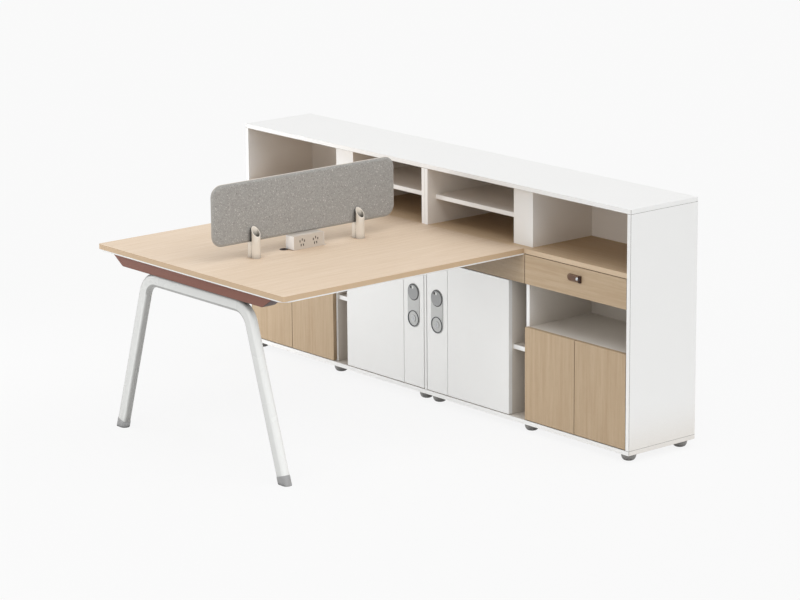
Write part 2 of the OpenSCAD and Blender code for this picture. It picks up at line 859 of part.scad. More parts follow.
// Power unit: a white housing with outlets facing both users. One foot turns in below it, one out.
power_foot = 12;
power_foot_t = 2;
outlet_t = 3;
outlet_inset = 8;
outlet_gap = 4;
slot_w = 2.2;
slot_l = 8;
slot_d = 2;
slot_off = 8;

module power_housing() {
    lo = [-power_w / 2, screen_y - power_l / 2, counter_h];
    hi = [power_w / 2, screen_y + power_l / 2, counter_h + power_h];
    color("white") {
        difference() {
            board(lo, hi);
            board([lo.x - overrun, lo.y + outlet_inset, lo.z - overrun],
                  [hi.x + overrun, hi.y - outlet_inset, hi.z - power_wall]);
        }
        board([lo.x + outlet_t + fit, lo.y, lo.z],
              [hi.x - outlet_t - fit, lo.y + outlet_inset + power_foot, lo.z + power_foot_t]);
        board([lo.x, hi.y, lo.z], [hi.x, hi.y + power_foot, lo.z + power_foot_t]);
    }
}

module outlet_holes(face_x, y, z) {
    for (s = [-1, 1]) translate([face_x, y + s * slot_off, z + slot_off / 2])
        cube([2 * slot_d, slot_w, slot_l], center = true);
    translate([face_x, y, z + slot_off]) cube([2 * slot_d, slot_w, slot_l], center = true);
    for (s = [-1, 1]) translate([face_x, y + s * slot_off / 2, z - slot_off])
        cube([2 * slot_d, slot_w, slot_l], center = true);
}

module power_outlets() {
    lo_y = screen_y - power_l / 2 + outlet_inset;
    hi_y = screen_y + power_l / 2 - outlet_inset;
    step = (hi_y - lo_y) / outlet_count;
    color("gainsboro") both_sides() difference() {
        board([power_w / 2 - outlet_t, lo_y, counter_h],
              [power_w / 2, hi_y, counter_h + power_h - power_wall]);
        for (i = [0 : outlet_count - 1])
            outlet_holes(power_w / 2, lo_y + step * (i + 0.5), counter_h + power_h / 2);
    }
}

top_board();
left_end_panel();
right_end_panel();
left_centre_panel();
right_centre_panel();
left_bottom_panel();
right_bottom_panel();
left_counter();
right_counter();
partitions();
locker_sides();
left_riser();
right_riser();
left_back_panel();
right_back_panel();
centre_strip();
desk_fascia();
bay_shelves();
niche_shelves();
hutch_shelves();
locker_shelves();
shelf_pins();
cabinet_feet();
hinge_arms();
carcass_slides();
desk_top();
desk_liner();
end_beam();
leg_frame();
leg_caps();
desk_rails();
desk_brackets();
screen_panel();
front_screen_post();
rear_screen_post();
post_bolts();
power_housing();
power_outlets();
cable_grommet();
left_lock_plate();
right_lock_plate();
left_pull_disc();
right_pull_disc();
left_lock_plug();
right_lock_plug();
left_outer_door();
left_inner_door();
right_inner_door();
right_outer_door();
left_locker_door();
right_locker_door();
left_access_door();
right_access_door();
left_drawer_front();
right_drawer_front();
left_drawer_box();
right_drawer_box();
left_drawer_pull();
right_drawer_pull();
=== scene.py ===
import math
import bmesh
import bpy
import numpy as np
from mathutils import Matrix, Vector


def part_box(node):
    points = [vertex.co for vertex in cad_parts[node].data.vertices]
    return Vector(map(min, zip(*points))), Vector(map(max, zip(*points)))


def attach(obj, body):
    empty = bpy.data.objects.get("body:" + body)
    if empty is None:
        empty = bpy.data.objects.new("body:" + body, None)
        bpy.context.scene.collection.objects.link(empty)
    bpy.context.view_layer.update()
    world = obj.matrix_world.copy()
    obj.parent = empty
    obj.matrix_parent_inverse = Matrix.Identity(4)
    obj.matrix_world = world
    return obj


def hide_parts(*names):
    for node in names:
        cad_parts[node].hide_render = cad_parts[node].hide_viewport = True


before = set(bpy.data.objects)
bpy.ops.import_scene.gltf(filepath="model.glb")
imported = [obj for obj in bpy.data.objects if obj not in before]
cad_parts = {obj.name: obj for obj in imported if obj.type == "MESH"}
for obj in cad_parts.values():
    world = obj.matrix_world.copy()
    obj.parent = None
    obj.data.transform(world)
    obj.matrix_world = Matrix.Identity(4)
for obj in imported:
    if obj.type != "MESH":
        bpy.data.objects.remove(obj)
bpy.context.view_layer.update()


# Standpoint.
# The desk is seen from the right of its free end, a little from above, through a long lens,
# so that its edges run almost parallel.
standpoint = bpy.data.objects.new("standpoint", bpy.data.cameras.new("standpoint"))
standpoint.location = (9.346, -7.540, 3.474)
standpoint.rotation_euler = [math.radians(turn) for turn in (76.075, 0.499, 49.941)]
standpoint.data.sensor_width = 36
standpoint.data.lens = 138.5
bpy.context.scene.collection.objects.link(standpoint)
bpy.context.scene.camera = standpoint


# Studio.
# A pale floor and a white surround light the desk evenly from all round. One broad lamp
# overhead, a little to the right, makes the level faces the brightest. Soft boxes to the front
# left, high in front and in the knee space fill the fronts.
def paint(red, green, blue):
    """A display colour in steps of 0 to 255 as linear light, by the standard display curve."""
    c = np.array([red, green, blue]) / 255
    return (*np.where(c <= 0.04045, c / 12.92, ((c + 0.055) / 1.055) ** 2.4), 1.0)


def fed(tree, made, feeds):
    """Feeds a node's named inputs, each with a value or with the output of another node."""
    for name, value in dict(feeds).items():
        if isinstance(value, bpy.types.NodeSocket):
            tree.links.new(value, made.inputs[name])
        else:
            made.inputs[name].default_value = value
    return made


def wire(tree, kind, feeds=(), **settings):
    """Adds a shader node with these settings, and feeds its inputs."""
    made = tree.nodes.new("ShaderNode" + kind)
    for name, value in settings.items():
        setattr(made, name, value)
    return fed(tree, made, feeds)


def reckon(tree, operation, *values):
    """The result of a Math node on these values."""
    return wire(tree, "Math", enumerate(values), operation=operation).outputs[0]


def blended(tree, amount, low, high):
    """Mixes two colours by an amount from 0 to 1."""
    return wire(tree, "Mix", {0: amount, 6: low, 7: high}, data_type="RGBA").outputs[2]


def seen_directly(tree):
    """1 for rays from the camera, off gloss and through glass, and 0 for the light on the desk."""
    rays = wire(tree, "LightPath").outputs
    either = reckon(tree, "MAXIMUM", rays["Is Camera Ray"], rays["Is Glossy Ray"])
    return reckon(tree, "MAXIMUM", either, rays["Is Transmission Ray"])


surround_white = paint(250, 250, 250)
surround_light, floor_glow = 0.50, 0.92
floor_reach = 60.0
bpy.context.scene.view_settings.view_transform = "Standard"

surround = bpy.data.worlds.new("studio_surround")
bpy.context.scene.world = surround
surround.use_nodes = True
tree = surround.node_tree
tree.nodes.clear()
ambient = wire(tree, "Background", {"Color": (1, 1, 1, 1), "Strength": surround_light})
backdrop = wire(tree, "Background", {"Color": surround_white, "Strength": 1.0})
both = wire(tree, "MixShader", {0: seen_directly(tree), 1: ambient.outputs[0],
                                2: backdrop.outputs[0]})
wire(tree, "OutputWorld", {"Surface": both.outputs[0]})

floor_mesh = bpy.data.meshes.new("studio_floor")
corners = np.array([(-1, -1, 0), (1, -1, 0), (1, 1, 0), (-1, 1, 0)]) * floor_reach
floor_mesh.from_pydata(corners.tolist(), [], [(0, 1, 2, 3)])
floor = bpy.data.objects.new("studio_floor", floor_mesh)
bpy.context.scene.collection.objects.link(floor)
pale_floor = bpy.data.materials.new("pale_floor")
pale_floor.use_nodes = True
tree = pale_floor.node_tree
tree.nodes.clear()
speckle = wire(tree, "TexNoise", {"Vector": wire(tree, "TexCoord").outputs["Object"],
                                  "Scale": 3.0, "Detail": 3.0})
tone = blended(tree, speckle.outputs["Fac"], paint(243, 243, 242), paint(246, 246, 246))
lit = wire(tree, "BsdfPrincipled", {"Base Color": tone, "Roughness": 0.9,
                                    "Specular IOR Level": 0.0})
glow = wire(tree, "Emission", {"Color": surround_white, "Strength": 1.0})
share = reckon(tree, "MULTIPLY", seen_directly(tree), floor_glow)
both = wire(tree, "MixShader", {0: share, 1: lit.outputs[0], 2: glow.outputs[0]})
wire(tree, "OutputMaterial", {"Surface": both.outputs[0]})
floor.data.materials.append(pale_floor)


def lamp(name, kind, place, aim, energy, **settings):
    """A lamp that shines from one place towards another. The camera doesn't see the lamp."""
    made = bpy.data.objects.new(name, bpy.data.lights.new(name, kind))
    made.data.energy = energy
    for label, value in settings.items():
        setattr(made.data, label, value)
    back = np.subtract(place, aim)
    made.location = place
    made.rotation_euler = (0, math.atan2(math.hypot(back[0], back[1]), back[2]),
                           math.atan2(back[1], back[0]))
    made.visible_camera = False
    bpy.context.scene.collection.objects.link(made)


lamp("overhead_lamp", "SUN", (4.4, 0, 9.0), (0, 0, 0), 1.66, angle=math.radians(75))
lamp("front_left_softbox", "AREA", (-2.6, -1.9, 0.7), (-0.9, 0.4, 0.10), 6.4, shape="RECTANGLE",
     size=1.4, size_y=1.1, spread=math.radians(70))
lamp("high_front_softbox", "AREA", (1.0, -3.4, 2.6), (0.2, 0.5, 0.9), 18.0, shape="RECTANGLE",
     size=1.6, size_y=1.0)
lamp("knee_space_fill", "AREA", (0, -0.60, 0.36), (0, 0.42, 0.33), 0.7, shape="RECTANGLE",
     size=0.40, size_y=0.85)


# White carcass boards.
# Particle board faced with white melamine, with thin edge bands. The boards are cut square,
# and their bands are eased by hand, so each arris catches a thin line of light.
def shader_group(name, ins, outs):
    """Starts a shader group with its named inputs and outputs, each with its kind. Gives the
    group, what it is given, and the node that takes what it gives."""
    made = bpy.data.node_groups.new(name, "ShaderNodeTree")
    for way, sockets in (("INPUT", ins), ("OUTPUT", outs)):
        for label, kind in sockets.items():
            made.interface.new_socket(label, in_out=way, socket_type="NodeSocket" + kind)
    return made, made.nodes.new("NodeGroupInput").outputs, made.nodes.new("NodeGroupOutput")


def grouped(tree, group, feeds=()):
    """Places a shader group in a tree, with its inputs fed by name, and gives its outputs."""
    return wire(tree, "Group", feeds, node_tree=group).outputs


def ranged(tree, value, low, high, least=0.0, most=1.0):
    """Runs from least to most as the value goes from low to high, and stays level beyond."""
    return wire(tree, "MapRange", {"Value": value, "From Min": low, "From Max": high,
                                   "To Min": least, "To Max": most}).outputs[0]


def own(tree, which):
    """The piece's own coordinates, Object or Normal."""
    return wire(tree, "TexCoord").outputs[which]


def part(tree, vector, axis):
    """One part of a vector, X, Y or Z."""
    return wire(tree, "SeparateXYZ", {0: vector}).outputs[axis]


# The eased arris: the normal is rounded over the radius, and the mask is how far it turns.
arris, given, gives = shader_group("eased_arris", {"Radius": "Float"},
                                   {"Normal": "Vector", "Edge": "Float"})
rounded = wire(arris, "Bevel", {"Radius": given["Radius"]}, samples=6).outputs[0]
agree = wire(arris, "VectorMath", {0: rounded, 1: wire(arris, "NewGeometry").outputs["Normal"]},
             operation="DOT_PRODUCT").outputs["Value"]
fed(arris, gives, {"Normal": rounded, "Edge": ranged(arris, agree, 1.0, 0.75)})

# Fine skin: the slight orange peel of a pressed or sprayed face, with a mask of faint blotches.
peel, given, gives = shader_group("fine_skin", {"Vector": "Vector", "Grain": "Float"},
                                  {"Height": "Float", "Blotch": "Float"})
fine = wire(peel, "TexNoise", {"Vector": given["Vector"], "Scale": given["Grain"],
                               "Detail": 3.0, "Roughness": 0.6})
broad = wire(peel, "TexNoise", {"Vector": given["Vector"], "Scale": 2.3, "Detail": 4.0})
fed(peel, gives, {"Height": fine.outputs["Fac"], "Blotch": broad.outputs["Fac"]})

# Recess shade: from 0 in the open to 1 deep in a bay or a corner, over the reach.
recess, given, gives = shader_group("recess_shade", {"Reach": "Float"}, {"Deep": "Float"})
clear = wire(recess, "AmbientOcclusion", {"Distance": given["Reach"]}, samples=8).outputs["AO"]
fed(recess, gives, {"Deep": ranged(recess, clear, 0.75, 0.15)})

# Low recess: the same shade, but only below the desk top's level.
low_level = 0.70
low_recess, given, gives = shader_group("low_recess_shade", {"Reach": "Float"},
                                        {"Deep": "Float"})
shade = grouped(low_recess, recess, {"Reach": given["Reach"]})["Deep"]
height = part(low_recess, own(low_recess, "Object"), "Z")
below = reckon(low_recess, "LESS_THAN", height, low_level)
fed(low_recess, gives, {"Deep": reckon(low_recess, "MULTIPLY", shade, below)})

# Side walls: how far a face turns away from the fronts, from 0 level with them to 1 edge on.
walls, given, gives = shader_group("side_walls", {}, {"Wall": "Float"})
square = reckon(walls, "ABSOLUTE", part(walls, own(walls, "Normal"), "Y"))
fed(walls, gives, {"Wall": ranged(walls, square, 0.75, 0.35)})

# Front faces: 1 on the board edges and risers that face the desk, as far back as the risers.
front_margin = 0.020
front_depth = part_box("left_riser")[0].y + front_margin
fronts, given, gives = shader_group("front_faces", {"Vector": "Vector"}, {"Front": "Float"})
near = reckon(fronts, "LESS_THAN", part(fronts, given["Vector"], "Y"), front_depth)
ahead = reckon(fronts, "LESS_THAN", part(fronts, own(fronts, "Normal"), "Y"), -0.7)
fed(fronts, gives, {"Front": reckon(fronts, "MULTIPLY", near, ahead)})

# Upright faces: 1 on a board's edges and 0 on its level faces.
edges, given, gives = shader_group("upright_faces", {}, {"Upright": "Float"})
flat = reckon(edges, "ABSOLUTE", part(edges, own(edges, "Normal"), "Z"))
fed(edges, gives, {"Upright": ranged(edges, flat, 0.8, 0.5)})

# Faces towards: from 0 to 1 as a face turns to look the given way, between the two cosines.
towards, given, gives = shader_group(
    "faces_towards", {"Way": "Vector", "Start": "Float", "Full": "Float"}, {"Facing": "Float"})
look = wire(towards, "VectorMath", {0: own(towards, "Normal"), 1: given["Way"]},
            operation="DOT_PRODUCT").outputs["Value"]
fed(towards, gives, {"Facing": ranged(towards, look, given["Start"], given["Full"])})

# Board joints: thin lines round the upright faces, where the lid and the bottom board meet them,
# and down the cabinet's two ends, where the front edge band meets the panel.
end_low, end_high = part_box("right_end_panel")
lid_level, foot_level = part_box("top_board")[0].z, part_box("right_bottom_panel")[1].z
band_thick, face_margin, joint_half, band_half = 0.0015, 0.0005, 0.0008, 0.0012
band_depth, end_face = end_low.y + band_thick, end_high.x - face_margin
joints, given, gives = shader_group("board_joints", {"Vector": "Vector"}, {"Line": "Float"})
aside, back, level = [part(joints, given["Vector"], axis) for axis in "XYZ"]
at_lid, at_foot = [reckon(joints, "COMPARE", level, seam, joint_half)
                   for seam in (lid_level, foot_level)]
at_band = reckon(joints, "COMPARE", back, band_depth, band_half)
at_end = reckon(joints, "GREATER_THAN", reckon(joints, "ABSOLUTE", aside), end_face)
either = reckon(joints, "MAXIMUM", reckon(joints, "MAXIMUM", at_lid, at_foot),
                reckon(joints, "MULTIPLY", at_band, at_end))
flat = reckon(joints, "ABSOLUTE", part(joints, own(joints, "Normal"), "Z"))
upright = reckon(joints, "LESS_THAN", flat, 0.5)
fed(joints, gives, {"Line": reckon(joints, "MULTIPLY", either, upright)})


def blank_finish(name, **sockets):
    """Starts a material and gives it, its tree, its shader and its Object coordinates. The named
    sockets are the values that are the same all over, such as Metallic."""
    made = bpy.data.materials.new(name)
    made.use_nodes = True
    tree = made.node_tree
    shader = tree.nodes["Principled BSDF"]
    fed(tree, shader, {label.replace("_", " "): value for label, value in sockets.items()})
    return made, tree, shader, own(tree, "Object")


blotch_shade = 0.965


def sprayed_finish(name, colour, worn, grain, relief, radius, rough, **sockets):
    """A skinned finish: one colour with faint blotches, a second one where edges wear, fine peel,
    and eased edges. Rough is its roughness at the smoothest and at the dullest blotch."""
    made, tree, shader, where = blank_finish(name, **sockets)
    face = grouped(tree, peel, {"Vector": where, "Grain": grain})
    edge = grouped(tree, arris, {"Radius": radius})
    full = paint(*colour)
    dim = tuple(blotch_shade * c for c in full[:3]) + (1.0,)
    body = blended(tree, face["Blotch"], dim, full)
    bump = wire(tree, "Bump", {"Height": face["Height"], "Strength": relief,
                               "Distance": 0.0004, "Normal": edge["Normal"]})
    fed(tree, shader, {"Base Color": blended(tree, edge["Edge"], body, paint(*worn)),
                       "Roughness": ranged(tree, face["Blotch"], 0.0, 1.0, *rough),
                       "Normal": bump.outputs[0]})
    return made


def overlaid(made, group, feeds, colour):
    """Lays a colour over a finish's own, by the mask that a shader group puts out."""
    tree = made.node_tree
    shader = tree.nodes["Principled BSDF"]
    mask = grouped(tree, group, feeds)[0]
    under = shader.inputs["Base Color"].links[0].from_socket
    fed(tree, shader, {"Base Color": blended(tree, mask, under, paint(*colour))})


melamine = (240, 240, 239), (246, 246, 245), 900.0, 0.25, 0.0012, (0.42, 0.56)
white_melamine = sprayed_finish("white_melamine", *melamine)
# The carcass boards take a copy of the melamine that carries painted light and shade.
carcass_melamine_painted_shading = sprayed_finish("carcass_melamine_painted_shading", *melamine)
# Painted shade in bays and corners, more below the desk top's level, and on faces that look down.
overlaid(carcass_melamine_painted_shading, recess, {"Reach": 0.45}, (238, 230, 220))
overlaid(carcass_melamine_painted_shading, low_recess, {"Reach": 0.45}, (206, 198, 188))
overlaid(carcass_melamine_painted_shading, towards, {"Way": (0, 0, -1), "Start": 0.5, "Full": 0.9},
         (186, 172, 158))
where = own(carcass_melamine_painted_shading.node_tree, "Object")
# Painted light: the front faces are brought back to a brighter white than the boards' own.
overlaid(carcass_melamine_painted_shading, fronts, {"Vector": where}, (246, 246, 245))
overlaid(carcass_melamine_painted_shading, joints, {"Vector": where}, (150, 148, 144))


def dress(finish, *nodes):
    """Gives carried-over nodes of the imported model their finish."""
    for name in nodes:
        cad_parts[name].material_slots[0].material = finish


dress(carcass_melamine_painted_shading, "top_board", "left_end_panel", "right_end_panel", "left_centre_panel",
      "right_centre_panel", "left_bottom_panel", "right_bottom_panel", "partitions",
      "locker_sides", "left_riser", "right_riser", "left_back_panel", "right_back_panel",
      "bay_shelves", "niche_shelves", "hutch_shelves", "locker_shelves")
dress(white_melamine, "centre_strip", "left_locker_door", "right_locker_door",
      "left_access_door", "right_access_door", "left_drawer_box", "right_drawer_box")


# Oak boards.
# The counters are faced with middling oak, and the drawer fronts, the board behind the desk and
# the cupboard doors with a browner one: straight fine grain and short dark pores. Bands match.
# The figure is drawn with the grain along X, as noise drawn out along it at four widths.
figure, given, gives = shader_group(
    "oak_figure", {"Grain": "Vector"},
    {"Tone": "Float", "Arch": "Float", "Streak": "Float", "Pore": "Float"})


def drawn_out(along, across, **feeds):
    """Noise in the oak's figure, stretched so that it has this many spots a metre each way."""
    spread = wire(figure, "VectorMath", {0: given["Grain"], 1: (along, across, across)},
                  operation="MULTIPLY").outputs[0]
    return wire(figure, "TexNoise", {"Vector": spread, "Scale": 1.0, **feeds}).outputs["Fac"]


streak = drawn_out(3.4, 84.0, Detail=5.0, Roughness=0.66)
pore = drawn_out(22.0, 640.0, Detail=2.0, Roughness=0.7)
fed(figure, gives, {"Tone": drawn_out(1.6, 9.0, Detail=3.0),
                    "Arch": drawn_out(1.2, 16.0, Detail=4.0, Roughness=0.6),
                    "Streak": ranged(figure, streak, 0.36, 0.68),
                    "Pore": ranged(figure, pore, 0.60, 0.72)})

middling_oak = (222, 200, 172), (214, 191, 162), (198, 173, 142), (168, 142, 112)
brown_oak = (197, 174, 144), (187, 164, 134), (170, 144, 113), (140, 114, 86)
oak_ease = 0.001


def oak_finish(name, turn, tints):
    """Oak facing whose grain runs along X once the piece's coordinates have had this turn. The
    tints are its palest and warmest ground, its streaks and its pores."""
    oak_pale, oak_warm, oak_line, oak_pore = [paint(*tint) for tint in tints]
    made, tree, shader, where = blank_finish(name)
    laid = wire(tree, "Mapping", {"Vector": where, "Rotation": turn})
    grain = grouped(tree, figure, {"Grain": laid.outputs[0]})
    edge = grouped(tree, arris, {"Radius": oak_ease})
    body = blended(tree, grain["Tone"], oak_pale, oak_warm)
    for mark, share, tint in (("Arch", 0.32, oak_line), ("Streak", 0.60, oak_line),
                              ("Pore", 0.4, oak_pore)):
        body = blended(tree, reckon(tree, "MULTIPLY", grain[mark], share), body, tint)
    sunk = reckon(tree, "ADD", grain["Streak"], grain["Pore"])
    bump = wire(tree, "Bump", {"Height": sunk, "Strength": 0.25, "Distance": 0.0003,
                               "Normal": edge["Normal"]}, invert=True)
    fed(tree, shader, {"Base Color": blended(tree, edge["Edge"], body, oak_pale),
                       "Roughness": ranged(tree, grain["Streak"], 0.0, 1.0, 0.48, 0.64),
                       "Normal": bump.outputs[0]})
    return made


counter_oak = oak_finish("oak_counter", (0, 0, 0), middling_oak)
oak_level = oak_finish("brown_oak_level", (0, 0, 0), brown_oak)
fascia_oak = oak_finish("brown_oak_fascia_painted_shade", (0, 0, 0), brown_oak)
oak_upright = oak_finish("brown_oak_upright", (0, math.radians(90), 0), brown_oak)
# Painted shade: the counters in the bays, the fascia under the desk top, and the doors' joints.
overlaid(counter_oak, recess, {"Reach": 0.45}, (176, 148, 114))
overlaid(fascia_oak, recess, {"Reach": 1.0}, (30, 22, 14))
overlaid(oak_upright, recess, {"Reach": 0.12}, (110, 86, 56))
dress(counter_oak, "left_counter", "right_counter")
dress(oak_level, "left_drawer_front", "right_drawer_front")
dress(fascia_oak, "desk_fascia")
dress(oak_upright, "left_outer_door", "left_inner_door", "right_inner_door",
      "right_outer_door")


# Desk top.
# The shared top is one pale oak-faced board with its grain towards the cabinet, on a thin white
# board with rounder corners that shows as a bright line below it.
pale_oak = (234, 215, 194), (228, 207, 184), (213, 190, 162), (188, 162, 132)
oak_lengthwise = oak_finish("pale_oak_lengthwise", (0, 0, math.radians(90)), pale_oak)
overlaid(oak_lengthwise, edges, {}, (203, 176, 144))
# Painted shade darkens the top where it runs close to the cabinet.
overlaid(oak_lengthwise, recess, {"Reach": 0.30}, (130, 92, 52))
dress(oak_lengthwise, "desk_top")
dress(white_melamine, "desk_liner")


# End beam.
# A sheet-steel beam under the top's free end, folded with slanted ends and round lower
# corners, and powder-coated terracotta.
def skin(name, rings, finish, body, stands_for=()):
    """Makes closed pieces from grids of points (pieces, rows, points, axes), or one such grid.
    Each row is a loop. Rows that shrink to one point, or lie on each other, are merged, so that
    poles and seams close, and then the faces are turned outwards."""
    rings = np.asarray(rings, float)
    rings = rings.reshape((-1,) + rings.shape[-3:])
    grid = np.arange(rings[..., 0].size).reshape(rings.shape[:3])
    ahead = np.roll(grid, -1, 2)
    faces = np.stack([grid[:, :-1], ahead[:, :-1], ahead[:, 1:], grid[:, 1:]], -1).reshape(-1, 4)
    mesh = bpy.data.meshes.new(name)
    mesh.from_pydata(rings.reshape(-1, 3).tolist(), [], faces.tolist())
    work = bmesh.new()
    work.from_mesh(mesh)
    bmesh.ops.remove_doubles(work, verts=work.verts, dist=1e-6)
    bmesh.ops.recalc_face_normals(work, faces=work.faces)
    work.to_mesh(mesh)
    work.free()
    mesh.shade_smooth()
    mesh.set_sharp_from_angle(angle=math.radians(38))
    mesh.materials.append(finish)
    piece = bpy.data.objects.new(name, mesh)
    bpy.context.scene.collection.objects.link(piece)
    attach(piece, body)
    if stands_for:
        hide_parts(*stands_for)
    return piece


def outline(corners, radii, steps=8):
    """A convex outline, anticlockwise, with its outward directions. Each corner is an arc about
    the point that lies one radius inside both of its sides."""
    c = np.array(corners, float)
    r = np.broadcast_to(np.asarray(radii, float), len(c))[:, None]
    side = np.roll(c, -1, 0) - c
    out = np.stack([side[:, 1], -side[:, 0]], 1) / np.linalg.norm(side, axis=1)[:, None]
    back = np.roll(out, 1, 0)
    centre = c - r * (out + back) / (1 + (out * back).sum(1))[:, None]
    first = np.arctan2(back[:, 1], back[:, 0])
    turn = (np.arctan2(out[:, 1], out[:, 0]) - first) % (2 * np.pi)
    angle = first[:, None] + turn[:, None] * np.linspace(0, 1, steps + 1)
    facing = np.stack([np.cos(angle), np.sin(angle)], -1)
    return (centre[:, None] + r[:, None] * facing).reshape(-1, 2), facing.reshape(-1, 2)


def slab(edge, facing, low, high, ease, steps=4):
    """Rings of a flat plate between two levels, as (u, v, level): from the middle of its lower
    face to the rim, round a quarter circle, up the side, and back to the middle of the upper."""
    turn = np.linspace(0, np.pi / 2, steps + 1)
    inset, rise = ease * (1 - np.sin(turn)), ease * (1 - np.cos(turn))
    inset, level = np.r_[inset, inset[::-1]], np.r_[low + rise, high - rise[::-1]]
    ring = edge[None] - inset[:, None, None] * facing[None]
    middle = np.broadcast_to(edge.mean(0), ring[:1].shape)
    ring = np.concatenate([middle, ring, middle])
    level = np.r_[low, level, high]
    return np.dstack([ring, np.broadcast_to(level[:, None], ring.shape[:2])])


def oblong(left, low, right, high):
    """The four corners of an upright oblong, anticlockwise."""
    return [(left, low), (right, low), (right, high), (left, high)]


beam_low, beam_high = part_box("end_beam")
beam_lean, beam_round, beam_upper_round, beam_ease = 0.0675, 0.018, 0.002, 0.0022
powder_terracotta = sprayed_finish("terracotta_powder_coat", (128, 81, 67),
                                   (158, 120, 106), 1400.0, 0.5, 0.0008, (0.46, 0.6))
# Faces that look down are painted darker: painted shade under the beam, and on its slanted
# ends it also stands for their dark end plugs.
overlaid(powder_terracotta, towards, {"Way": (0, 0, -1), "Start": 0.3, "Full": 0.6},
         (66, 40, 34))
lower_left, lower_right, *upper = oblong(beam_low.x, beam_low.z, beam_high.x, beam_high.z)
edge, facing = outline([np.add(lower_left, (beam_lean, 0)), np.add(lower_right, (-beam_lean, 0)),
                        *upper], [beam_round] * 2 + [beam_upper_round] * 2, 10)
ring = slab(edge, facing, beam_low.y, beam_high.y, beam_ease)
skin("folded_end_beam", ring[..., [0, 2, 1]], powder_terracotta, "workstation",
     ["end_beam"])


# Leg frame.
# One length of oval steel tube, bent twice into an A without a point, welded under the beam
# and powder-coated white.
leg_splay = math.radians(17.5)
leg_foot = np.array([0.530, 0.0])
low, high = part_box("leg_frame")
leg_plane = (low.y + high.y) / 2
tube_wide, tube_deep, tube_round = 0.056, 0.036, 0.0165
run_level, bend_radius, cap_length = 0.653, 0.090, 0.034
powder_white = sprayed_finish("white_powder_coat_painted_shade", (238, 239, 237), (246, 246, 245),
                              1600.0, 0.3, 0.0006, (0.22, 0.32))
# Painted shade on the tube and the desk rails: grey towards -X and darker underneath.
overlaid(powder_white, towards, {"Way": (-1, 0, 0), "Start": -0.35, "Full": 0.8},
         (182, 183, 181))
overlaid(powder_white, towards, {"Way": (0, 0, -1), "Start": 0.12, "Full": 0.26},
         (166, 166, 164))
# Painted shade where the tube runs close to the beam and the floor.
overlaid(powder_white, recess, {"Reach": 0.10}, (120, 118, 115))


def poled(rows):
    """Adds the middles of the first and the last row as rows, so that both ends close."""
    ends = np.broadcast_to(rows[[0, -1]].mean(1)[:, None], (2,) + rows.shape[1:])
    return np.concatenate([ends[:1], rows, ends[1:]])


# The middle line in the frame's plane: up one leg, round a bend and along to the middle, then
# the same mirrored. The section keeps its width across that line and its depth along Y.
up_leg = np.array([-math.sin(leg_splay), math.cos(leg_splay)])
run_half = (leg_foot[0] - run_level * math.tan(leg_splay)
            - bend_radius * math.tan((math.pi / 2 - leg_splay) / 2))
turn = np.linspace(leg_splay, math.pi / 2, 25)
bow = np.stack([np.cos(turn), np.sin(turn)], 1)
bend_middle = np.array([run_half, run_level - bend_radius])
half = np.vstack([leg_foot + cap_length * up_leg, bend_middle + bend_radius * bow])
outward = np.vstack([bow[:1], bow])
line = np.vstack([half, half[::-1] * (-1, 1)])
outward = np.vstack([outward, outward[::-1] * (-1, 1)])
edge, facing = outline(oblong(-tube_wide / 2, -tube_deep / 2, tube_wide / 2, tube_deep / 2),
                       tube_round, 10)
plane_points = line[:, None] + edge[None, :, :1] * outward[:, None]
depth = np.broadcast_to(leg_plane + edge[:, 1], plane_points.shape[:2])
tube = np.dstack([plane_points[..., 0], depth, plane_points[..., 1]])
skin("bent_leg_tube", poled(tube), powder_white, "workstation", ["leg_frame"])


# Leg caps.
# Moulded grey sleeves on the tube's ends, cut level with the floor, with a soft upper lip.
cap_wall = 0.0015
moulded_grey = sprayed_finish("moulded_grey", (160, 160, 160), (178, 178, 178),
                              1100.0, 0.6, 0.0008, (0.5, 0.62))
# Painted shade where the caps stand on the floor.
overlaid(moulded_grey, recess, {"Reach": 0.02}, (40, 40, 42))


def cap_ring(grow, height):
    """One loop of a cap: the tube's section, grown, at this height along the leg, but never
    below the floor, where it is cut level."""
    section = edge + grow * facing
    along = np.maximum(height, -section[:, 0] * math.tan(leg_splay))
    flat = leg_foot + along[:, None] * up_leg + section[:, :1] * bow[0]
    return np.stack([flat[:, 0], leg_plane + section[:, 1], flat[:, 1]], 1)


# The first rows lie on the floor, inside the cap's easing. The others round its upper lip.
below_floor, floor_ease = -1.0, (0, 0, 0.0012)
rows = [cap_ring(-0.0005, below_floor), cap_ring(cap_wall * 0.6, below_floor),
        cap_ring(cap_wall, below_floor) + floor_ease]
rows += [cap_ring(grow, cap_length - drop) for grow, drop in (
    (cap_wall, 0.0020), (cap_wall * 0.85, 0.0010), (cap_wall * 0.4, 0.0003), (-0.0004, 0))]
cap = poled(np.array(rows))
skin("leg_cap_pair", np.array([cap, cap * (-1, 1, 1)]), moulded_grey, "workstation",
     ["leg_caps"])


# Rails, brackets and bolts.
# Two box rails carry the top from the beam to angle brackets on the cabinet, and a bolt holds
# each screen post from below. They are plain zinc-plated or white-coated steel.
zinc_steel = sprayed_finish("zinc_plated_steel", (178, 180, 182), (205, 206, 208),
                            260.0, 0.35, 0.0006, (0.28, 0.42), Metallic=0.9)
dress(powder_white, "desk_rails")
dress(zinc_steel, "desk_brackets", "post_bolts")


# Fabric screen.
# A firm pad covered in grey melange felt, with a pale woven piping round its edge. It stands
# between the two users on two posts, whose rods go up into its lower edge.
screen_low, screen_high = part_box("screen_panel")
screen_round, screen_roll, cloth_gap, cloth_slack = 0.045, 0.013, 0.0004, 0.0003

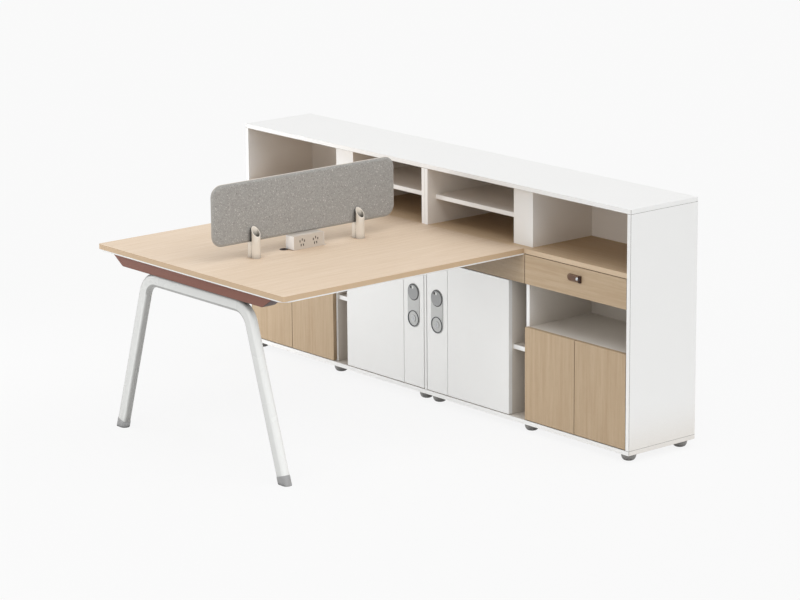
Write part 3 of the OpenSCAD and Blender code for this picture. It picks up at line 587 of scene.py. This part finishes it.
felt, tree, shader, where = blank_finish("grey_melange_felt", Sheen_Weight=0.25,
                                         Sheen_Roughness=0.5)
cloud = wire(tree, "TexNoise", {"Vector": where, "Scale": 70.0, "Detail": 4.0,
                                "Roughness": 0.6}).outputs["Fac"]
fibre = wire(tree, "TexNoise", {"Vector": where, "Scale": 210.0, "Detail": 4.0,
                                "Roughness": 0.7, "Distortion": 0.6}).outputs["Fac"]
body = blended(tree, ranged(tree, cloud, 0.36, 0.64), paint(160, 158, 155), paint(166, 165, 162))
body = blended(tree, ranged(tree, fibre, 0.58, 0.67), body, paint(228, 226, 222))
body = blended(tree, ranged(tree, fibre, 0.44, 0.32), body, paint(124, 122, 119))
warp, weft = [wire(tree, "TexWave", {"Vector": where, "Scale": 260.0, "Distortion": 1.2,
                                     "Detail": 1.0}, wave_type="BANDS", bands_direction=way)
              for way in "YZ"]
cloth = reckon(tree, "MAXIMUM", warp.outputs["Fac"], weft.outputs["Fac"])
bump = wire(tree, "Bump", {"Height": reckon(tree, "ADD", cloth, fibre), "Strength": 0.5,
                           "Distance": 0.0006})
fed(tree, shader, {"Base Color": body, "Roughness": 0.9, "Normal": bump.outputs[0]})
# Painted shade where the felt meets the posts and the piping.
overlaid(felt, recess, {"Reach": 0.03}, (40, 36, 30))

# The pad's half thickness rises from its rim as a quarter of a superellipse, of power swell,
# over the roll's width. The cloth then drops by a breath between slow waves across the face.
swell = 2.4
flat_insets = (0.02, 0.03, 0.04)
wave_along, wave_up = 9.0, 17.0
edge, facing = outline(oblong(screen_low.y, screen_low.z, screen_high.y, screen_high.z),
                       screen_round, 14)
half_thick = (screen_high.x - screen_low.x) / 2 - cloth_gap
inward = np.r_[screen_roll * (1 - np.cos(np.linspace(0, np.pi / 2, 9))), flat_insets]
rise = half_thick * (1 - (1 - np.clip(inward / screen_roll, 0, 1)) ** swell) ** (1 / swell)
ring = edge[None] - inward[:, None, None] * facing[None]
centre = edge.mean(0)
core = centre + (ring[-1] - centre) * np.linspace(0.94, 0, 14)[:, None, None]
ring = np.concatenate([ring, core])
rise = np.r_[rise, np.full(len(core), half_thick)]
slack = np.sin(wave_along * ring[..., 0]) * np.cos(wave_up * ring[..., 1] + 1.0)
stretch = np.clip((rise / half_thick - 0.9) / 0.1, 0, 1)[:, None] * cloth_slack * (slack - 1)
face = np.dstack([rise[:, None] + stretch, ring])
back = face[::-1] * (-1, 1, 1)
pad = skin("felt_screen_pad", np.concatenate([back, face[1:]]), felt, "workstation",
           ["screen_panel"])


def cord_along(path, out, aside, radius, around=10):
    """A round cord on a closed path: circles in the plane of its outward and sideways turns."""
    turn = np.linspace(0, 2 * np.pi, around, endpoint=False)
    return (path[:, None] + radius * np.cos(turn)[None, :, None] * out[:, None]
            + radius * np.sin(turn)[None, :, None] * aside)


piping_radius = 0.0030
piping_cloth, tree, shader, where = blank_finish("pale_piping_cloth", Sheen_Weight=0.2)
twill = wire(tree, "TexWave", {"Vector": where, "Scale": 420.0, "Distortion": 0.8, "Detail": 1.0},
             wave_type="BANDS", bands_direction="DIAGONAL").outputs["Fac"]
bump = wire(tree, "Bump", {"Height": twill, "Strength": 0.5, "Distance": 0.0004})
fed(tree, shader, {"Base Color": blended(tree, twill, paint(228, 222, 212), paint(240, 235, 226)),
                   "Roughness": 0.85, "Normal": bump.outputs[0]})
# Painted shade on the cord wherever it faces sideways rather than up or down.
overlaid(piping_cloth, edges, {}, (172, 169, 164))
zero = np.zeros(len(edge))
welt = cord_along(np.stack([zero, *edge.T], 1), np.stack([zero, *facing.T], 1),
                  np.array([1.0, 0, 0]), piping_radius)
skin("screen_piping", np.concatenate([welt, welt[:1]]), piping_cloth, "workstation")


# Screen posts.
# Each post is a tall steel tube beside the screen, cut obliquely so that it opens upwards, and
# a short one welded to it under the screen, all powder-coated cream.
post_radius, post_bore, post_sill = 0.0175, 0.0150, 0.0647
post_outer, post_inner, post_middle, bore_floor = 0.085, 0.125, 0.060, 0.065
lip_ease, bore_ease, stub_ease = 0.0005, 0.001, 0.0012
powder_cream = sprayed_finish("cream_powder_coat", (232, 224, 212), (242, 236, 226),
                              1500.0, 0.3, 0.0006, (0.26, 0.38))
# Painted shade in the bore and where the tubes stand close to the screen.
overlaid(powder_cream, recess, {"Reach": 0.05}, (96, 92, 82))


def post_rim(radius, drop, height=None):
    """One loop round the tube's axis: level at the height, or else on the slanted plane of its
    mouth, which rises towards the screen on the tube's -X side."""
    turn = np.linspace(0, 2 * np.pi, 72, endpoint=False)
    x = radius * np.cos(turn)
    slant = post_outer + (post_inner - post_outer) * (1 - x / post_radius) / 2 - drop
    return np.stack([x, radius * np.sin(turn), slant if height is None else 0 * x + height], 1)


tall = np.array([post_rim(0, 0, 0), post_rim(post_radius, 0, 0),
                 post_rim(post_radius, 0, post_middle), post_rim(post_radius, lip_ease),
                 post_rim(post_radius - lip_ease, 0), post_rim(post_bore + lip_ease, 0),
                 post_rim(post_bore, lip_ease), post_rim(post_bore, 0, bore_floor + bore_ease),
                 post_rim(post_bore - bore_ease, 0, bore_floor), post_rim(0, 0, bore_floor)])
stub = np.array([post_rim(0, 0, 0), post_rim(post_radius, 0, 0),
                 post_rim(post_radius, 0, post_sill - stub_ease),
                 post_rim(post_radius - stub_ease / 3, 0, post_sill - stub_ease / 3),
                 post_rim(post_radius - stub_ease, 0, post_sill), post_rim(0, 0, post_sill)])
for name in ("front_screen_post", "rear_screen_post"):
    low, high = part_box(name)
    axis = np.array([high.x - post_radius, (low.y + high.y) / 2, low.z])
    skin(name + "_tube", tall + axis, powder_cream, "workstation", [name])
    skin(name + "_stub", stub + axis * (0, 1, 1), powder_cream, "workstation")


# Power unit.
# A beige-grey housing screwed to the top through its feet, with a white cap on each end. Both
# users get two outlets, moulded in a plate that closes its side, with painted shade in the slots.
moulded_white = sprayed_finish("moulded_white", (250, 249, 248), (250, 250, 249),
                               1300.0, 0.3, 0.0012, (0.3, 0.4))
moulded_beige = sprayed_finish("moulded_beige_grey", (210, 201, 190), (222, 214, 204),
                               1300.0, 0.3, 0.0009, (0.4, 0.5))
dress(moulded_beige, "power_housing", "power_outlets")

low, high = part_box("power_housing")
cap_gap, cap_foot, foot_round, crown_round = 0.0004, 0.0024, 0.002, 0.004
cap_out, cap_in, cap_ease = 0.0022, 0.0010, 0.0009
edge, facing = outline(oblong(low.x + cap_gap, low.z + cap_foot, high.x - cap_gap,
                              high.z - cap_gap), [foot_round] * 2 + [crown_round] * 2, 6)
cap = slab(edge, facing, -cap_out, cap_in, cap_ease)[..., [0, 2, 1]]
unit_low, unit_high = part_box("power_outlets")
inset = unit_low.y - low.y
caps = np.array([cap + (0, low.y, 0), cap * (1, -1, 1) + (0, unit_high.y + inset, 0)])
skin("power_end_caps", caps, moulded_white, "workstation")

slot_wide, slot_tall, slot_deep, slot_proud = 0.0036, 0.0090, 0.0015, 0.0003
slot_round, slot_ease = 0.0003, 0.0001
pitch = (unit_high.y - unit_low.y) / 2
first = unit_low.y + pitch / 2
level = (low.z + high.z) / 2
spots = [(-0.0115, 0.005), (0.0115, 0.005), (0, 0.011), (-0.006, -0.011), (0.006, -0.011)]
places = np.array([(first + k * pitch + y, level + z) for k in (0, 1) for y, z in spots])
edge, facing = outline(oblong(-slot_wide / 2, -slot_tall / 2, slot_wide / 2, slot_tall / 2),
                       slot_round, 1)
ring = slab(edge, facing, 0.0, slot_deep, slot_ease, 1)[..., [2, 0, 1]]
side = unit_high.x - slot_deep + slot_proud
wells = ring[None] + np.insert(places, 0, side, 1)[:, None, None]
# Dark pieces a hair proud of the plate in each slot: painted shade for the socket holes' depth.
painted_slot_shade = sprayed_finish("painted_slot_shade", (30, 20, 16), (44, 34, 28), 900.0, 0.4,
                              0.0002, (0.4, 0.6))
skin("outlet_slot_shades", np.concatenate([wells, wells * (-1, 1, 1)]), painted_slot_shade,
     "workstation")


# Cable grommet.
# A plastic sleeve pressed into the top beside the power unit, for the cables.
moulded_black = sprayed_finish("moulded_brown_black", (52, 38, 36), (70, 56, 52),
                               1200.0, 0.5, 0.0005, (0.45, 0.6))
dress(moulded_black, "cable_grommet")


# Cabinet feet.
# Twelve bowl-shaped levelling feet, moulded in grey, turn on steel studs in the boards.
foot_grey = sprayed_finish("moulded_foot_grey", (142, 141, 139), (166, 165, 163),
                           1200.0, 0.5, 0.0008, (0.42, 0.55))
# Painted shade where the feet meet the floor and the boards.
overlaid(foot_grey, recess, {"Reach": 0.03}, (84, 82, 80))
dress(foot_grey, "cabinet_feet")


# Hinges, slides and pins.
# Nickel-plated hinge arms, ball-bearing drawer slides and shelf pins, inside the cabinet.
dress(zinc_steel, "hinge_arms", "carcass_slides", "shelf_pins")

# A hinge cup's bowl and pressed flange, turned about their middle line.
cup_profile = np.array([(0, 0.0016), (0.0128, 0.0016), (0.0138, 0.0030), (0.0142, 0.0118),
                        (0.0150, 0.0128), (0.0186, 0.0128), (0.0192, 0.0124), (0.0192, 0.0117),
                        (0.0172, 0.0117), (0.0146, 0.0100), (0.0140, 0.0040), (0, 0.0010)])


def turned(profile, around=40):
    """Rings of a round piece: each (radius, height) of the profile turned about the Y axis."""
    angle = np.linspace(0, 2 * np.pi, around, endpoint=False)
    r, h = profile[:, :1], profile[:, 1:]
    return np.dstack([r * np.cos(angle), np.broadcast_to(h, (len(r), around)),
                      r * np.sin(angle)])


# Two cups on each door's inner face, set in from the carcass board that it hangs on. The table
# gives that board's face on the right-hand half, and the way from it to the middle of the door.
cup_setback, cup_depth, cup_end = 0.023, 0.012, 0.090
hinge_boards = {"outer": (1.182, -1), "inner": (0.615, 1), "locker": (0.494, -1),
                "access": (0.0185, 1)}
hands = (("left", -1), ("right", 1))
for hand, side in hands:
    for leaf, (board, inward) in hinge_boards.items():
        low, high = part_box(f"{hand}_{leaf}_door")
        x = (board + cup_setback * inward) * side
        middles = np.array([(x, high.y - cup_depth, z)
                            for z in (low.z + cup_end, high.z - cup_end)])
        skin(f"{hand}_{leaf}_door_hinge_cups", turned(cup_profile)[None] + middles[:, None, None],
             zinc_steel, f"{hand}_{leaf}_leaf")


# Lock plates.
# A long round-ended plate of light grey plastic on each narrow door. Its upper end has a round
# well for the finger disc, and its lower end a bright ring round the keyed lock.
moulded_light = sprayed_finish("moulded_light_grey", (194, 195, 194), (214, 215, 214),
                               1200.0, 0.35, 0.0008, (0.3, 0.42))
# Painted shade: the plate's side walls and the well's wall are grey, and near black deep in the
# well.
overlaid(moulded_light, walls, {}, (118, 118, 118))
overlaid(moulded_light, recess, {"Reach": 0.012}, (60, 58, 56))
# The ring is bright plated metal; its dark grey ground and near-black side walls are painted
# reflection.
ring_metal = sprayed_finish("lock_ring_metal", (104, 106, 109), (170, 172, 175), 700.0,
                            0.2, 0.0004, (0.2, 0.3), Metallic=0.7)
overlaid(ring_metal, walls, {}, (46, 46, 48))
low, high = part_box("right_access_door")
plate_x, door_face = (low.x + high.x) / 2, low.y
plate_radius, plate_proud, disc_level, lock_level = 0.037, 0.002, 0.450, 0.338
well_radius, well_deep, well_ease, back_gap = 0.0346, 0.0150, 0.0006, 0.0001

# The plate's rows run from the well's floor up to its rim, over the eased front edge and back
# behind the plate. The well's rim turns evenly with the way that the plate's edge faces.
edge, facing = outline(oblong(-plate_radius, lock_level - plate_radius, plate_radius,
                              disc_level + plate_radius), plate_radius, 24)


def plate_row(inset, y):
    """The plate's outline at this depth, drawn in by the inset."""
    points = edge - inset * facing
    return np.stack([points[:, 0], np.full(len(points), y), points[:, 1]], 1)


def well_row(radius, y):
    """A circle round the well's middle at this depth."""
    return np.stack([radius * facing[:, 0], np.full(len(facing), y),
                     disc_level + radius * facing[:, 1]], 1)


front, behind = door_face - plate_proud, door_face + back_gap
well_floor = door_face + well_deep
rows = [well_row(0, well_floor), well_row(well_radius * 0.80, well_floor - 0.0004),
        well_row(well_radius, well_floor - 0.004), well_row(well_radius, front + well_ease),
        well_row(well_radius + well_ease, front), plate_row(0.0009, front),
        plate_row(0.0003, front + 0.0003), plate_row(0, front + 0.0010), plate_row(0, behind),
        plate_row(0.0020, behind), well_row(well_radius + 0.0004, behind),
        well_row(well_radius + 0.0003, well_floor - 0.003), well_row(0, well_floor + 0.0003)]
plate = np.array(rows) + (plate_x, 0, 0)
ring_profile = np.array([(0.0302, 0.0), (0.0340, 0.0), (0.0340, -0.0022), (0.0335, -0.0029),
                         (0.0327, -0.0031), (0.0312, -0.0024), (0.0302, -0.0008), (0.0302, 0.0)])
collar_profile = np.array([(0, 0.0), (0.0150, 0.0), (0.0150, -0.0016), (0.0146, -0.0021),
                           (0.0120, -0.0021), (0.0113, -0.0016), (0.0113, -0.0002), (0, -0.0002)])
for hand, side in hands:
    flip = (side, 1, 1)
    skin(f"{hand}_moulded_plate", plate * flip, moulded_light, f"{hand}_access_leaf",
         [f"{hand}_lock_plate"])
    middle = (plate_x, front, lock_level)
    skin(f"{hand}_lock_ring", (turned(ring_profile, 72) + middle) * flip, ring_metal,
         f"{hand}_access_leaf")
    skin(f"{hand}_lock_collar", (turned(collar_profile, 56) + middle) * flip, moulded_light,
         f"{hand}_access_leaf")


# Finger discs.
# A mid-grey moulded disc turns on a cross pin in each well: pressed at its top it tips, so
# that a finger can pull the door by its lower edge.
disc_profile = np.array([(0, -0.0072), (0.0200, -0.0074), (0.0280, -0.0079), (0.0302, -0.0080),
                         (0.0310, -0.0074), (0.0330, -0.0042), (0.0330, -0.0008),
                         (0.0324, 0.0008), (0.0300, 0.0015), (0, 0.0015)])
pin_profile = np.array([(0, -0.0405), (0.0018, -0.0405), (0.0020, -0.0401), (0.0020, 0.0401),
                        (0.0018, 0.0405), (0, 0.0405)])
disc_depth = 0.003
disc = turned(disc_profile, 72)
pin = turned(pin_profile, 72)[..., [1, 0, 2]]
moulded_mid = sprayed_finish("moulded_mid_grey", (150, 151, 152), (176, 177, 178),
                             1200.0, 0.4, 0.0006, (0.34, 0.46))
# Painted shade: the disc's side walls are near black, for the gap round it in the well.
overlaid(moulded_mid, walls, {}, (56, 56, 58))

# The notch near the disc's top left is painted: painted shade for its hole, and painted light on
# the slope beside it.
notch_rise, notch_edge, notch_core = 0.020, 0.0066, 0.0048
lit_aside, hole_aside = -0.002, -0.012
notch, given, gives = shader_group("painted_notch_shade_and_light", {"Vector": "Vector", "Aside": "Float"},
                                   {"Spot": "Float"})
flat = wire(notch, "VectorMath", {0: given["Vector"], 1: (1, 0, 1)}, operation="MULTIPLY")
aside = wire(notch, "CombineXYZ", {"X": given["Aside"]})
moved = wire(notch, "VectorMath", {0: flat.outputs[0], 1: aside.outputs[0]}, operation="SUBTRACT")
ways = [wire(notch, "VectorMath", {0: moved.outputs[0],
                                   1: (side * plate_x, 0, disc_level + notch_rise)},
             operation="DISTANCE").outputs["Value"] for hand, side in hands]
fed(notch, gives, {"Spot": ranged(notch, reckon(notch, "MINIMUM", *ways), notch_edge, notch_core)})
where = own(moulded_mid.node_tree, "Object")
overlaid(moulded_mid, notch, {"Vector": where, "Aside": lit_aside}, (214, 214, 212))
overlaid(moulded_mid, notch, {"Vector": where, "Aside": hole_aside}, (28, 28, 30))
for hand, side in hands:
    middle = (plate_x, door_face + disc_depth, disc_level)
    for label, rings in (("finger_disc", disc), ("disc_pin", pin)):
        skin(f"{hand}_{label}", (rings + middle) * (side, 1, 1), moulded_mid,
             f"{hand}_finger_pull",
             [f"{hand}_pull_disc"] if label == "finger_disc" else [])


# Lock plugs.
# The key turns a plated plug, whose flat steel tongue behind the door holds it to the centre
# panel.
dull_zinc = sprayed_finish("dull_plug_metal", (178, 179, 181), (206, 207, 209), 700.0,
                           0.2, 0.0004, (0.3, 0.42), Metallic=0.9)
dress(dull_zinc, "left_lock_plug", "right_lock_plug")


# Drawer pulls.
# A tab of saddle-stitched brown hide, round at one end and turned back at the other, held on
# each drawer by a domed chrome stud.
hide, tree, shader, where = blank_finish("brown_hide", Coat_Weight=0.08)
crease = wire(tree, "TexVoronoi", {"Vector": where, "Scale": 620.0}, feature="DISTANCE_TO_EDGE")
shade = wire(tree, "TexNoise", {"Vector": where, "Scale": 60.0, "Detail": 5.0}).outputs["Fac"]
groove = ranged(tree, crease.outputs["Distance"], 0.0, 0.12)
rubbed = grouped(tree, arris, {"Radius": 0.0009})
body = blended(tree, shade, paint(90, 58, 34), paint(110, 74, 46))
body = blended(tree, groove, paint(62, 38, 22), body)
body = blended(tree, rubbed["Edge"], body, paint(66, 38, 20))
bump = wire(tree, "Bump", {"Height": groove, "Strength": 0.5, "Distance": 0.0003,
                           "Normal": rubbed["Normal"]})
fed(tree, shader, {"Base Color": body, "Roughness": ranged(tree, shade, 0.0, 1.0, 0.42, 0.6),
                   "Normal": bump.outputs[0]})

satin_chrome = sprayed_finish("satin_chrome", (196, 198, 200), (232, 233, 235), 700.0,
                              0.2, 0.0006, (0.16, 0.26), Metallic=1.0)
burnished_hide = sprayed_finish("burnished_hide", (48, 25, 14), (70, 40, 24), 900.0,
                                0.6, 0.001, (0.4, 0.55))
waxed_thread = sprayed_finish("waxed_thread", (176, 148, 112), (196, 170, 134),
                              2200.0, 0.6, 0.0002, (0.5, 0.6))
low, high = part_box("right_drawer_pull")
pull_low, pull_high = low.z, high.z
strap_thick, strap_ease, fold_round, stud_in = 0.0046, 0.0016, 0.002, 0.022
tab_thick, tab_wide, tab_gap, tab_ease, tab_round = 0.0115, 0.009, 0.0002, 0.0032, 0.001
strap_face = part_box("right_drawer_front")[0].y
mid_level = (pull_low + pull_high) / 2
reach = (pull_high - pull_low) / 2
edge, facing = outline(oblong(low.x, pull_low, high.x, pull_high),
                       [reach, fold_round, fold_round, reach], 16)
strap = slab(edge, facing, -strap_thick, 0.0, strap_ease)[..., [0, 2, 1]] + (0, strap_face, 0)
edge_tab, facing_tab = outline(oblong(high.x - tab_wide, pull_low + tab_gap, high.x,
                                      pull_high - tab_gap), tab_round, 4)
tab = slab(edge_tab, facing_tab, -tab_thick, 0.0, tab_ease)[..., [0, 2, 1]] + (0, strap_face, 0)
stud_profile = np.array([(0, 0.0), (0.0066, 0.0), (0.0070, -0.0006), (0.0068, -0.0014),
                         (0.0056, -0.0028), (0.0034, -0.0037), (0, -0.0040)])
stud = turned(stud_profile, 48) + (high.x - stud_in, strap_face - strap_thick, mid_level)

# The stitches follow a line 3 mm inside the edge as far as the tab: short capsules, longer
# than the gaps between them.
seam_inset, seam_stop, stitch_count = 0.0032, 0.0105, 44
stitch_half, stitch_radius, probe = 0.00165, 0.00042, 0.0005
seam = edge - seam_inset * facing
seam = np.vstack([seam, seam[:1]])
way = np.r_[0, np.cumsum(np.linalg.norm(np.diff(seam, axis=0), axis=1))]
at = (np.arange(stitch_count) + 0.5) * way[-1] / stitch_count
spot = np.stack([np.interp(at, way, seam[:, k]) for k in (0, 1)], 1)
ahead = np.stack([np.interp((at + probe) % way[-1], way, seam[:, k]) for k in (0, 1)], 1) - spot
ahead = ahead / np.linalg.norm(ahead, axis=1)[:, None]
keep = spot[:, 0] < high.x - seam_stop
spot, ahead = spot[keep], ahead[keep]
bead = np.array([(0, -1.0), (0.8, -0.75), (1.0, 0.0), (0.8, 0.75), (0, 1.0)])
turn = np.linspace(0, 2 * np.pi, 6, endpoint=False)
along = bead[:, 1][:, None] * stitch_half * np.ones_like(turn)
wide = bead[:, 0][:, None] * stitch_radius * np.cos(turn)
tall = bead[:, 0][:, None] * stitch_radius * np.sin(turn)
stitch = np.stack([
    spot[:, None, None, 0] + along * ahead[:, None, None, 0] - wide * ahead[:, None, None, 1],
    np.broadcast_to(strap_face - strap_thick + tall, (len(spot),) + tall.shape),
    spot[:, None, None, 1] + along * ahead[:, None, None, 1] + wide * ahead[:, None, None, 0]], -1)
for hand, side in hands:
    for label, rings, finish, slot in (
            ("hide_strap", strap, hide, "brown_leather"),
            ("hide_tab", tab, burnished_hide, "brown_leather"),
            ("strap_stitches", stitch, waxed_thread, "brown_leather"),
            ("strap_stud", stud, satin_chrome, "chrome")):
        skin(f"{hand}_{label}", rings * (side, 1, 1), finish, f"{hand}_drawer",
             [f"{hand}_drawer_pull"] if label == "hide_strap" else [])
